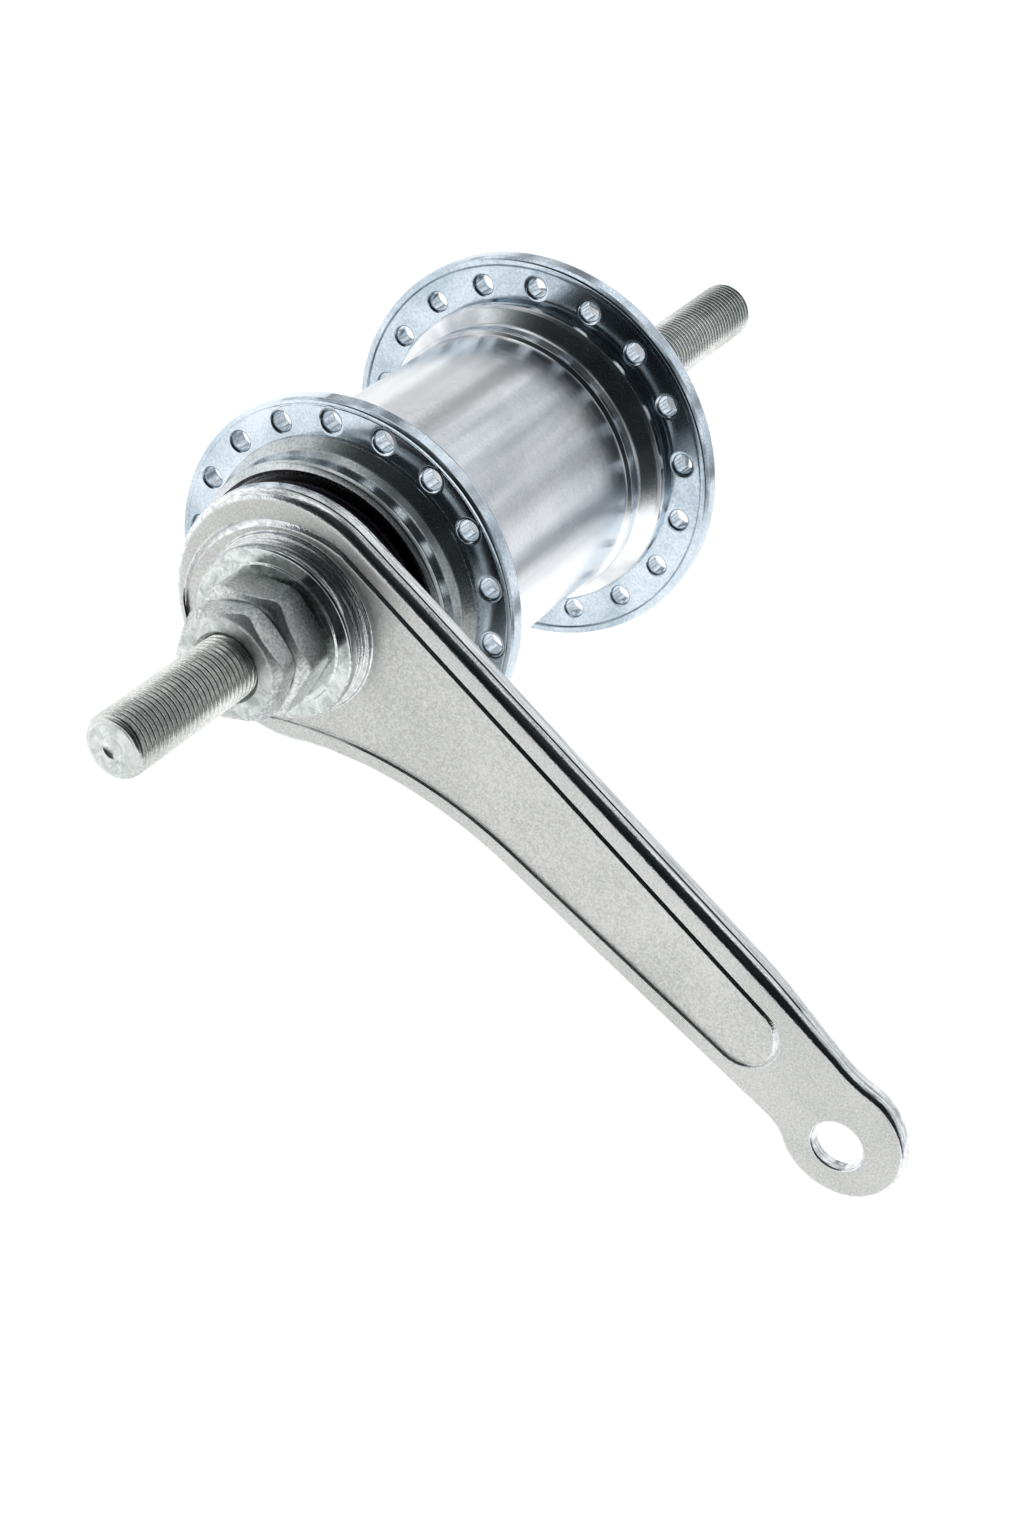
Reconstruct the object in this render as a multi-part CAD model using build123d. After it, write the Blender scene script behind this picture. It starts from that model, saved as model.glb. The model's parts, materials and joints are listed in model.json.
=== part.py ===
from build123d import *
import math
import os

# Single-speed rear hub with a back-pedal (coaster) brake, in millimetres.
# Frame: origin on the axle, midway between the two dropout faces.
# +X runs along the brake arm, +Y points to the drive side, +Z is up.

# ---- driving dimensions --------------------------------------------------

AXLE_R = 5.0               # thread size, at the two bare ends
AXLE_WAIST_R = 4.8         # under the nuts and the cones
OVER_LOCKNUTS = 120.0
BRAKE_TIP_Y = -86.5
DRIVE_TIP_Y = 98.0
THREAD_FIT = 0.02          # radial gap of a bore on the axle's waist or on a key
RUN_FIT = 0.06             # radial gap of a running fit
BALL_FIT = 0.08            # gap between a ball and its race

BARREL_R = 22.6
BARREL_BORE_R = 19.6
DRUM_R = 18.5
COLLAR_MOUTH_R = 20.5
SPOKE_HOLES = 18
SPOKE_HOLE_R = 1.6
SPOKE_PITCH = 360.0 / SPOKE_HOLES

BRAKE_FLANGE_R = 29.3
BRAKE_FLANGE_BORE_R = 23.0
BRAKE_FLANGE_Y = (-29.6, -26.1)
BRAKE_SPOKE_CIRCLE_R = 26.0
BRAKE_SPOKE_PHASE = -5.8

DRIVE_FLANGE_R = 32.8
DRIVE_FLANGE_BORE_R = 24.8
DRIVE_FLANGE_Y = (26.3, 29.7)
DRIVE_SPOKE_CIRCLE_R = 28.2
DRIVE_SPOKE_PHASE = -1.0

COLLAR_END_Y = -36.9
BARREL_END_Y = 34.6

BALL_R = 3.175             # quarter-inch balls
SMALL_BALL_R = 2.38        # three-sixteenth-inch balls
BRAKE_BALLS = dict(count=10, pitch_r=15.3, y=-33.0, ball_r=BALL_R)
DRIVE_BALLS = dict(count=12, pitch_r=17.4, y=30.5, ball_r=BALL_R)
DRIVER_BALLS = dict(count=9, pitch_r=9.4, y=41.5, ball_r=SMALL_BALL_R)

TAPER = 0.25               # rise of every brake and clutch taper
SHOE_Y = (-25.0, 1.0)
SHOE_R = 18.0
SHOE_BORE_R = 12.5
SHOE_SLOT = 8.0            # gap across the two shoes, which the keys fill
SHOE_GAP = 0.45            # rest gap between a shoe and the tapers
CLUTCH_PULL = 0.8          # travel towards the drive side
CLUTCH_TAPER_Y = (6.0, 14.0)
CLUTCH_TAPER_R = 17.6
SCREW_R = 9.0

SPROCKET_SEAT_R = 17.3
SPROCKET_SEAT_Y = (37.2, 41.2)

ARM_FRONT_Y = -44.3
ARM_BACK_Y = -42.1
ARM_SKIRT_Y = -40.4
ARM_BOSS_Y = -46.6
ARM_END_R = 19.5
ARM_BOSS_R = 13.0
ARM_HOLE_X = 109.3
ARM_HOLE_R = 4.0
ARM_LOBE = (109.0, 1.3, 9.7)   # centre x, centre z and radius of the outer end
ARM_PANEL_DEPTH = 0.5
KEY_R = 9.0                # keyed end of the brake cone, in the arm's hole
KEY_FLAT = 7.2

DROPOUT_FACE_Y = OVER_LOCKNUTS / 2

SPIN_AXIS = Axis.Y


# ---- helpers -------------------------------------------------------------

def turned(points):
    """Solid turned about the axle from (radius, y) points."""
    outline = make_face(Polyline(*points, close=True))
    return revolve(outline, SPIN_AXIS, 360)


def ring(r_in, r_out, y_low, y_high, edge=0.0):
    """Flat ring, with a small chamfer on its two outer edges."""
    return turned([
        (r_in, y_low),
        (r_out - edge, y_low),
        (r_out, y_low + edge),
        (r_out, y_high - edge),
        (r_out - edge, y_high),
        (r_in, y_high),
    ]) if edge else turned([(r_in, y_low), (r_out, y_low), (r_out, y_high), (r_in, y_high)])


def plate(sketch, y_low, y_high):
    """Sketch drawn in X and Z, given thickness from y_low to y_high."""
    return extrude(Plane.XZ.offset(-y_high) * sketch, amount=y_high - y_low)


def bar_along_y(r, y_low, y_high, x=0.0, z=0.0):
    """Round bar parallel to the axle."""
    return plate(Pos(x, z) * Circle(r), y_low, y_high)


def around_axle(part, angle):
    """Turn a part about the axle by an angle in degrees."""
    return Rot(0, angle, 0) * part


def hex_nut(across_flats, y_low, y_high, chamfer_low=True, chamfer_high=True):
    """Hexagon nut with turned-off corners and a countersunk bore."""
    corner_r = across_flats / math.sqrt(3)
    turn_r = across_flats / 2 * 0.97
    drop = (corner_r - turn_r) * math.tan(math.radians(30))
    low = drop if chamfer_low else 0.0
    high = drop if chamfer_high else 0.0
    body = plate(RegularPolygon(corner_r, 6), y_low, y_high)
    points = [(0, y_low), (turn_r if low else corner_r, y_low)]
    if low:
        points.append((corner_r, y_low + low))
    if high:
        points.append((corner_r, y_high - high))
    points.append((turn_r if high else corner_r, y_high))
    points.append((0, y_high))
    bore_r = AXLE_WAIST_R + THREAD_FIT
    mouth_r = AXLE_R + 0.2
    sink = mouth_r - bore_r
    bore = turned([
        (0, y_low - 1),
        (mouth_r + 1, y_low - 1),
        (bore_r, y_low + sink),
        (bore_r, y_high - sink),
        (mouth_r + 1, y_high + 1),
        (0, y_high + 1),
    ])
    return (body & turned(points)) - bore


def race_groove(pitch_r, y, ball_r, **_):
    """Torus that cuts the ball track into a cup or a cone."""
    return Pos(0, y, 0) * Rot(90, 0, 0) * Torus(pitch_r, ball_r + BALL_FIT)


def ball_set(count, pitch_r, y, ball_r):
    """The balls of one bearing, as a group of separate solids."""
    balls = []
    for index in range(count):
        ball = Pos(pitch_r, y, 0) * Sphere(ball_r)
        balls.append(around_axle(ball, index * 360 / count))
    return balls


def retainer(count, pitch_r, y, ball_r, rail_side):
    """Crown retainer: one rail beside the balls, with fingers between them."""
    rail_y = y + rail_side * (ball_r + 0.9)
    finger_y = y - rail_side * 1.2
    half = 0.5
    body = ring(pitch_r - half, pitch_r + half, min(rail_y, finger_y), max(rail_y, finger_y))
    for index in range(count):
        pocket = Pos(pitch_r, y, 0) * Rot(0, 90, 0) * Cylinder(ball_r + BALL_FIT, 8 * half)
        body -= around_axle(pocket, index * 360 / count)
    return body


def spoke_holes(circle_r, phase, y_low, y_high):
    """Cutters for one flange's spoke holes, countersunk at both faces."""
    sink = 0.35
    cutters = []
    for index in range(SPOKE_HOLES):
        angle = phase + index * SPOKE_PITCH
        hole = bar_along_y(SPOKE_HOLE_R, y_low - 1, y_high + 1, x=circle_r)
        for face_y, out in ((y_low, -1), (y_high, 1)):
            mouth = Pos(circle_r, face_y, 0) * Rot(-90 * out, 0, 0) * Cone(
                SPOKE_HOLE_R, SPOKE_HOLE_R + 2 * sink, 2 * sink)
            hole += mouth
        cutters.append(around_axle(hole, angle))
    return cutters


# ---- axle and its hardware -------------------------------------------------

def make_axle():
    """Axle with chamfered ends, lathe centre marks and a thinner waist."""
    edge = 0.9
    mark_r = 1.7
    mark_depth = 1.2
    waist_y = DROPOUT_FACE_Y + 0.6
    return turned([
        (0, BRAKE_TIP_Y + mark_depth),
        (mark_r, BRAKE_TIP_Y),
        (AXLE_R - edge, BRAKE_TIP_Y),
        (AXLE_R, BRAKE_TIP_Y + edge),
        (AXLE_R, -waist_y),
        (AXLE_WAIST_R, -waist_y),
        (AXLE_WAIST_R, waist_y),
        (AXLE_R, waist_y),
        (AXLE_R, DRIVE_TIP_Y - edge),
        (AXLE_R - edge, DRIVE_TIP_Y),
        (mark_r, DRIVE_TIP_Y),
        (0, DRIVE_TIP_Y - mark_depth),
    ])


LOCKNUT_AF = 17.0
LOCKNUT_CORNER = 42.0          # angle of one corner above +X, in degrees
ARM_NUT_AF = 19.0
ARM_NUT_CORNER = 32.0
ARM_NUT_Y = (-55.2, -48.4)
ARM_WASHER_R = 13.6


def make_brake_side_locknut():
    nut = hex_nut(LOCKNUT_AF, -DROPOUT_FACE_Y, ARM_NUT_Y[0])
    return around_axle(nut, -LOCKNUT_CORNER)


def make_brake_arm_nut():
    return around_axle(hex_nut(ARM_NUT_AF, *ARM_NUT_Y), -ARM_NUT_CORNER)


def make_brake_arm_washer():
    return ring(AXLE_R + 0.1, ARM_WASHER_R, ARM_NUT_Y[1], ARM_BOSS_Y, edge=0.4)


LOCK_WASHER_Y = (52.0, 53.4)


def make_lock_washer():
    return ring(AXLE_R + 0.1, 9.6, *LOCK_WASHER_Y, edge=0.25)


def make_drive_side_locknut():
    return hex_nut(LOCKNUT_AF, LOCK_WASHER_Y[1], DROPOUT_FACE_Y)


# ---- brake arm ---------------------------------------------------------------

def tangent_point(radius, slope):
    """Where a line of this slope touches a circle about the axle from above."""
    norm = math.hypot(1.0, slope)
    return (-slope * radius / norm, radius / norm)


ARM_SLOPE = -0.085             # the upper edge closes in on the lower one
ARM_LOWER_Z = -5.1
ARM_NECK_X = 100.6             # where the upper edge runs into the lobe
ARM_SKIRT_END_X = 98.0
ARM_SWEEP_X = 47.0             # where the lower edge starts to sweep down
ARM_SWEEP_R = 65.6


def arm_top_z(x, radius):
    """Height of the arm's upper edge, touching a hub end of this radius."""
    return ARM_SLOPE * x + radius * math.hypot(1.0, ARM_SLOPE)


def sweep_z(x, lower_z, radius):
    """Height of the lower edge where it sweeps down to the hub end."""
    return lower_z - radius + math.sqrt(radius ** 2 - (x - ARM_SWEEP_X) ** 2)


def sweep_arc(end_r, lower_z, radius):
    """Swept lower edge, from its start to where it meets the round hub end."""
    low_x, high_x = 0.0, ARM_SWEEP_X
    while high_x - low_x > 1e-6:
        x = (low_x + high_x) / 2
        if math.hypot(x, sweep_z(x, lower_z, radius)) < end_r:
            low_x = x
        else:
            high_x = x
    middle_x = (high_x + ARM_SWEEP_X) / 2
    return ThreePointArc(
        (ARM_SWEEP_X, lower_z),
        (middle_x, sweep_z(middle_x, lower_z, radius)),
        (high_x, sweep_z(high_x, lower_z, radius)),
    )


def arm_outline(grow=0.0):
    """Outline of the arm's flat, or a parallel one that is larger by grow."""
    end_r = ARM_END_R + grow
    lower_z = ARM_LOWER_Z - grow
    lobe_x, lobe_z, lobe_r = ARM_LOBE[0], ARM_LOBE[1], ARM_LOBE[2] + grow
    top_start = tangent_point(end_r, ARM_SLOPE)
    neck_z = arm_top_z(ARM_NECK_X, end_r)
    neck_top = (ARM_NECK_X, neck_z)
    lobe_top = (lobe_x - 0.20 * lobe_r, lobe_z + lobe_r * math.sqrt(1 - 0.20 ** 2))
    lobe_low = (lobe_x - 0.50 * lobe_r, lobe_z - lobe_r * math.sqrt(1 - 0.50 ** 2))
    neck_low = (ARM_NECK_X - 1.0, lower_z)
    sweep = sweep_arc(end_r, lower_z, ARM_SWEEP_R - grow)
    return make_face([
        Line(top_start, neck_top),
        ThreePointArc(neck_top, (103.8, neck_z - 0.35), lobe_top),
        ThreePointArc(lobe_top, (lobe_x + lobe_r, lobe_z), lobe_low),
        ThreePointArc(lobe_low, (102.4, lower_z - 0.85), neck_low),
        Line(neck_low, (ARM_SWEEP_X, lower_z)),
        sweep,
        ThreePointArc(sweep @ 1, (-end_r, 0), top_start),
    ])


PANEL_R = 16.3                 # pressed panel, where it rings the boss
PANEL_END = (88.6, 3.3, 5.6)   # centre x, centre z and radius of its round end
PANEL_LOWER_Z = -2.6
PANEL_SLOPE = -0.037


def arm_panel():
    """Outline of the shallow pressed panel, which rings the boss."""
    end_x, end_z, end_r = PANEL_END
    start = tangent_point(PANEL_R, PANEL_SLOPE)
    top_end = (end_x, end_z + end_r)
    low_end = (end_x, end_z - end_r)
    sweep = sweep_arc(PANEL_R, PANEL_LOWER_Z, ARM_SWEEP_R)
    return make_face([
        Line(start, top_end),
        ThreePointArc(top_end, (end_x + end_r, end_z), low_end),
        Line(low_end, (ARM_SWEEP_X, PANEL_LOWER_Z)),
        sweep,
        ThreePointArc(sweep @ 1, (-PANEL_R, 0), start),
    ])


def keyed_disc(radius, flat):
    """Circle with two flats, for the end of the brake cone and its hole."""
    return Circle(radius) & Rectangle(2 * flat, 4 * radius)


def make_brake_arm():
    """Stamped arm: pressed panel, drawn boss, folded-back skirt, clip hole."""
    fold = 1.0
    wall = 1.7
    edge = 0.4
    body = plate(arm_outline(), ARM_FRONT_Y + edge, ARM_BACK_Y)
    body += plate(arm_outline(-edge), ARM_FRONT_Y, ARM_BACK_Y)
    body -= plate(arm_panel(), ARM_FRONT_Y - 1, ARM_FRONT_Y + ARM_PANEL_DEPTH)

    skirt = plate(arm_outline(fold), ARM_FRONT_Y + 1.0, ARM_SKIRT_Y)
    skirt -= plate(arm_outline(fold - wall), ARM_BACK_Y, ARM_SKIRT_Y + 1)
    hub_end = Pos(-10, 0) * Rectangle(30, 60)
    upper_side = Pos(ARM_SKIRT_END_X / 2, 25) * Rectangle(ARM_SKIRT_END_X, 40)
    body += skirt & plate(hub_end + upper_side, ARM_FRONT_Y - 1, ARM_SKIRT_Y + 1)

    boss_back_y = ARM_BACK_Y - 0.6
    boss_steps = [
        (AXLE_R, ARM_BOSS_Y),
        (ARM_BOSS_R - 0.5, ARM_BOSS_Y),
        (ARM_BOSS_R - 0.1, ARM_BOSS_Y + 0.4),
        (ARM_BOSS_R - 0.5, ARM_BOSS_Y + 0.8),
        (ARM_BOSS_R, ARM_BOSS_Y + 1.2),
        (ARM_BOSS_R - 0.3, ARM_BOSS_Y + 1.6),
        (ARM_BOSS_R + 0.5, ARM_BOSS_Y + 2.1),
        (ARM_BOSS_R + 1.1, ARM_FRONT_Y + ARM_PANEL_DEPTH),
        (ARM_BOSS_R + 1.1, boss_back_y),
        (AXLE_R, boss_back_y),
    ]
    body += turned(boss_steps)
    hole = keyed_disc(KEY_R + THREAD_FIT, KEY_FLAT + THREAD_FIT)
    body -= plate(hole, ARM_BOSS_Y - 1, ARM_BACK_Y + 1)
    body -= bar_along_y(ARM_HOLE_R, ARM_FRONT_Y - 1, ARM_BACK_Y + 1, x=ARM_HOLE_X)
    return body


# ---- brake -------------------------------------------------------------------

CONE_TAPER_Y = (-27.0, -16.0)
CONE_TAPER_R = 14.6
CONE_RACE_R = 13.9
SEAL_END_Y = -37.4
SEAL_R = 19.6


def make_brake_cone():
    """Fixed cone: keyed outer end, ball track, expander taper and shoe keys."""
    nose_r = CONE_TAPER_R - TAPER * (CONE_TAPER_Y[1] - CONE_TAPER_Y[0])
    bore = AXLE_WAIST_R + THREAD_FIT
    body = turned([
        (bore, ARM_BACK_Y),
        (14.0, ARM_BACK_Y),
        (14.0, SEAL_END_Y + 0.1),
        (CONE_RACE_R, SEAL_END_Y + 0.1),
        (CONE_RACE_R, -28.6),
        (CONE_TAPER_R, -28.0),
        (CONE_TAPER_R, CONE_TAPER_Y[0]),
        (nose_r, CONE_TAPER_Y[1]),
        (bore, CONE_TAPER_Y[1]),
    ])
    body -= race_groove(**BRAKE_BALLS)
    body += plate(keyed_disc(KEY_R, KEY_FLAT), ARM_BOSS_Y, ARM_BACK_Y + 1)
    body -= bar_along_y(bore, ARM_BOSS_Y - 1, ARM_BACK_Y + 2)
    key_length = CONE_TAPER_Y[1] - CONE_TAPER_Y[0]
    key_y = (CONE_TAPER_Y[0] + CONE_TAPER_Y[1]) / 2
    for side in (-1, 1):
        body += Pos(side * 13.5, key_y, 0) * Box(6.0, key_length, SHOE_SLOT - 1.0)
    return body


def make_brake_side_dust_cap():
    """Dark ring that fills the gap between the arm and the shell's mouth."""
    inner_r = 14.0
    return turned([
        (inner_r, ARM_BACK_Y),
        (17.4, ARM_BACK_Y),
        (17.4, ARM_SKIRT_Y + 0.2),
        (SEAL_R, ARM_SKIRT_Y + 0.2),
        (SEAL_R, SEAL_END_Y - 0.6),
        (SEAL_R - 0.6, SEAL_END_Y),
        (inner_r, SEAL_END_Y),
    ])


def make_brake_shoe(side):
    """Half-round shoe with a taper in each end of its bore."""
    end_r = SHOE_BORE_R + TAPER * 8.0
    ring_solid = turned([
        (end_r + SHOE_GAP, SHOE_Y[0]),
        (SHOE_R, SHOE_Y[0]),
        (SHOE_R, SHOE_Y[1]),
        (end_r + SHOE_GAP, SHOE_Y[1]),
        (SHOE_BORE_R + SHOE_GAP, SHOE_Y[1] - 8.0),
        (SHOE_BORE_R + SHOE_GAP, SHOE_Y[0] + 8.0),
    ])
    for groove_y in (-17.0, -12.0, -7.0):
        ring_solid -= ring(SHOE_R - 0.6, SHOE_R + 1, groove_y - 0.5, groove_y + 0.5)
    half = Pos(0, 0, side * (SHOE_SLOT / 2 + 25)) * Box(60, 80, 50)
    return ring_solid & half


# ---- clutch and driver ---------------------------------------------------------

def make_clutch_cone():
    """Sliding clutch: brake taper on one end, drive taper on the other."""
    nose_y = -9.0
    brake_taper_end_y = 3.0
    taper_drop = TAPER * (CLUTCH_TAPER_Y[1] - CLUTCH_TAPER_Y[0])
    brake_r = 14.5
    nose_r = brake_r - TAPER * (brake_taper_end_y - nose_y)
    bore = SCREW_R + RUN_FIT
    return turned([
        (bore, nose_y),
        (nose_r, nose_y),
        (brake_r, brake_taper_end_y),
        (brake_r, brake_taper_end_y + 0.6),
        (13.9, brake_taper_end_y + 0.6),
        (13.9, brake_taper_end_y + 2.4),
        (CLUTCH_TAPER_R, brake_taper_end_y + 2.4),
        (CLUTCH_TAPER_R, CLUTCH_TAPER_Y[0]),
        (CLUTCH_TAPER_R - taper_drop, CLUTCH_TAPER_Y[1]),
        (CLUTCH_TAPER_R - taper_drop, CLUTCH_TAPER_Y[1] + 0.6),
        (bore, CLUTCH_TAPER_Y[1] + 0.6),
    ])


def make_retarder_spring():
    """Split spring ring in the clutch's groove, which drags on the shoes."""
    body = ring(13.9, 15.4, 3.8, 5.2)
    gap = Pos(15, 4.5, 0) * Box(6, 4, 5)
    return body - gap


def make_drive_clutch_ring():
    """Hard taper ring in the shell, which the clutch grips to drive it."""
    gap = TAPER * CLUTCH_PULL + 0.1
    big_r = CLUTCH_TAPER_R + gap
    small_r = big_r - TAPER * (CLUTCH_TAPER_Y[1] - CLUTCH_TAPER_Y[0])
    return turned([
        (big_r, CLUTCH_TAPER_Y[0]),
        (BARREL_BORE_R, CLUTCH_TAPER_Y[0]),
        (BARREL_BORE_R, CLUTCH_TAPER_Y[1] + 1.5),
        (small_r, CLUTCH_TAPER_Y[1] + 1.5),
        (small_r, CLUTCH_TAPER_Y[1]),
    ])


DRIVER_RACE_R = 15.8
DRIVER_END_Y = 45.0
DRIVER_NOSE_Y = -3.0


def make_driver():
    """Driver: screw for the clutch, two ball tracks and the sprocket seat."""
    bore = AXLE_R + 0.6
    cup_r = 10.9
    seat_low, seat_high = SPROCKET_SEAT_Y
    body = turned([
        (bore, DRIVER_NOSE_Y),
        (SCREW_R - 0.6, DRIVER_NOSE_Y),
        (SCREW_R, DRIVER_NOSE_Y + 0.6),
        (SCREW_R, 17.5),
        (11.5, 20.0),
        (11.5, 23.0),
        (DRIVER_RACE_R, 26.0),
        (DRIVER_RACE_R, 36.1),
        (19.0, 36.1),
        (19.0, seat_low),
        (SPROCKET_SEAT_R, seat_low),
        (SPROCKET_SEAT_R, seat_high),
        (SPROCKET_SEAT_R - 1.1, seat_high),
        (SPROCKET_SEAT_R - 1.1, seat_high + 1.0),
        (SPROCKET_SEAT_R - 0.3, seat_high + 1.0),
        (SPROCKET_SEAT_R - 0.3, seat_high + 2.0),
        (14.2, DRIVER_END_Y),
        (12.2, DRIVER_END_Y),
        (12.2, 43.6),
        (cup_r, 43.6),
        (cup_r, 38.4),
        (bore, 38.4),
    ])
    body -= race_groove(**DRIVE_BALLS)
    body -= race_groove(**DRIVER_BALLS)
    notch = Pos(SPROCKET_SEAT_R, seat_low + 5.1, 0) * Box(3.0, 10.0, 3.4)
    for index in range(3):
        body -= around_axle(notch, index * 120)
    return body


def make_driver_dust_cap():
    """Pressed cap on the driver, which covers the shell's drive-side mouth."""
    return turned([
        (DRIVER_RACE_R, 35.0),
        (24.2, 35.0),
        (24.6, 35.3),
        (24.6, 35.7),
        (24.2, 36.0),
        (DRIVER_RACE_R, 36.0),
    ])


# ---- drive-side cone -----------------------------------------------------------

CONE_CAP_Y = (46.0, 47.4)


def make_drive_side_cone():
    """Adjusting cone, with two spanner flats on its outer end."""
    bore = AXLE_WAIST_R + THREAD_FIT
    body = turned([
        (bore, 38.9),
        (7.4, 38.9),
        (8.1, 39.6),
        (8.1, 50.0),
        (9.4, 50.0),
        (9.4, LOCK_WASHER_Y[0]),
        (bore, LOCK_WASHER_Y[0]),
    ])
    body -= race_groove(**DRIVER_BALLS)
    for side in (-1, 1):
        body -= Pos(side * 9.5, 51.5, 0) * Box(3.6, 3.0, 30)
    return body


def make_drive_side_cone_cap():
    """Pressed dust cap on the adjusting cone."""
    return turned([
        (8.1, CONE_CAP_Y[0]),
        (14.6, CONE_CAP_Y[0]),
        (15.2, CONE_CAP_Y[0] + 0.4),
        (14.2, CONE_CAP_Y[1]),
        (8.1, CONE_CAP_Y[1]),
    ])


# ---- shell -----------------------------------------------------------------------

BARREL_START_Y = -29.2
CUP_SEAT_Y = BARREL_START_Y - 0.05     # hidden end of the collar and of its cup
CUP_MOUTH_Y = -36.0
COLLAR_BORE_R = 19.9
DRIVE_CUP_R = 22.2
DRIVE_CUP_Y = 25.9
COLLAR_ROOT_R = 23.6
COLLAR_ROOT_Y = BRAKE_FLANGE_Y[0]


def make_hub_barrel():
    """Steel barrel with its bead and groove before the drive-side flange."""
    return turned([
        (18.6, BARREL_START_Y),
        (BRAKE_FLANGE_BORE_R, BARREL_START_Y),
        (BRAKE_FLANGE_BORE_R, BRAKE_FLANGE_Y[1]),
        (BARREL_R, BRAKE_FLANGE_Y[1]),
        (BARREL_R, 18.2),
        (BARREL_R + 0.6, 18.5),
        (BARREL_R + 0.6, 19.1),
        (BARREL_R + 0.2, 19.5),
        (BARREL_R + 0.3, 20.6),
        (BARREL_R + 0.8, 21.8),
        (BARREL_R + 1.7, 22.8),
        (BARREL_R + 2.7, 23.4),
        (BARREL_R + 3.1, 24.0),
        (BARREL_R + 3.1, 24.7),
        (BARREL_R + 2.7, 25.2),
        (DRIVE_FLANGE_BORE_R, 25.5),
        (DRIVE_FLANGE_BORE_R, 33.8),
        (DRIVE_FLANGE_BORE_R - 0.8, BARREL_END_Y),
        (DRIVE_CUP_R, BARREL_END_Y),
        (DRIVE_CUP_R, DRIVE_CUP_Y),
        (BARREL_BORE_R, DRIVE_CUP_Y),
        (BARREL_BORE_R, -25.5),
        (18.6, -25.5),
    ])


def make_brake_side_collar():
    """Polished end collar: rolled lip, hollow neck and root at the flange."""
    outline = make_face([
        Polyline(
            (COLLAR_MOUTH_R, COLLAR_END_Y + 0.3),
            (COLLAR_MOUTH_R, CUP_MOUTH_Y),
            (COLLAR_BORE_R, CUP_MOUTH_Y),
            (COLLAR_BORE_R, CUP_SEAT_Y),
            (BRAKE_FLANGE_BORE_R, CUP_SEAT_Y),
            (BRAKE_FLANGE_BORE_R, COLLAR_ROOT_Y),
            (COLLAR_ROOT_R, COLLAR_ROOT_Y),
            (COLLAR_ROOT_R, COLLAR_ROOT_Y - 0.5),
        ),
        ThreePointArc((COLLAR_ROOT_R, COLLAR_ROOT_Y - 0.5), (21.9, -32.0), (21.6, -35.0)),
        ThreePointArc((21.6, -35.0), (22.2, -35.7), (21.9, -36.5)),
        ThreePointArc((21.9, -36.5), (21.2, COLLAR_END_Y), (COLLAR_MOUTH_R, COLLAR_END_Y + 0.3)),
    ])
    return revolve(outline, SPIN_AXIS, 360)


def make_brake_side_flange():
    """Brake-side spoke flange with a rounded rim."""
    low, high = BRAKE_FLANGE_Y
    body = turned([
        (BRAKE_FLANGE_BORE_R, low),
        (BRAKE_FLANGE_R - 1.0, low),
        (BRAKE_FLANGE_R - 0.3, low + 0.3),
        (BRAKE_FLANGE_R, low + 0.9),
        (BRAKE_FLANGE_R, high - 0.9),
        (BRAKE_FLANGE_R - 0.3, high - 0.3),
        (BRAKE_FLANGE_R - 1.0, high),
        (BRAKE_FLANGE_BORE_R, high),
    ])
    return body - spoke_holes(BRAKE_SPOKE_CIRCLE_R, BRAKE_SPOKE_PHASE, low, high)


def make_drive_side_flange():
    """Drive-side spoke flange, with a low lip on its inner face's edge."""
    low, high = DRIVE_FLANGE_Y
    body = turned([
        (DRIVE_FLANGE_BORE_R, low),
        (DRIVE_FLANGE_R - 1.6, low),
        (DRIVE_FLANGE_R - 1.2, low - 0.5),
        (DRIVE_FLANGE_R - 0.4, low - 0.5),
        (DRIVE_FLANGE_R, low),
        (DRIVE_FLANGE_R, high - 0.9),
        (DRIVE_FLANGE_R - 0.9, high),
        (DRIVE_FLANGE_BORE_R, high),
    ])
    return body - spoke_holes(DRIVE_SPOKE_CIRCLE_R, DRIVE_SPOKE_PHASE, low, high)


def make_brake_drum_liner():
    """Hard liner that the shoes press on."""
    return ring(DRUM_R, BARREL_BORE_R, -25.5, CLUTCH_TAPER_Y[0] - 0.5)


def make_brake_side_bearing_cup():
    return ring(16.5, COLLAR_BORE_R, CUP_MOUTH_Y, CUP_SEAT_Y) - race_groove(**BRAKE_BALLS)


def make_drive_side_bearing_cup():
    return ring(18.9, DRIVE_CUP_R, DRIVE_CUP_Y, BARREL_END_Y - 0.4) - race_groove(**DRIVE_BALLS)


# ---- write the parts ---------------------------------------------------------------

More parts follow.
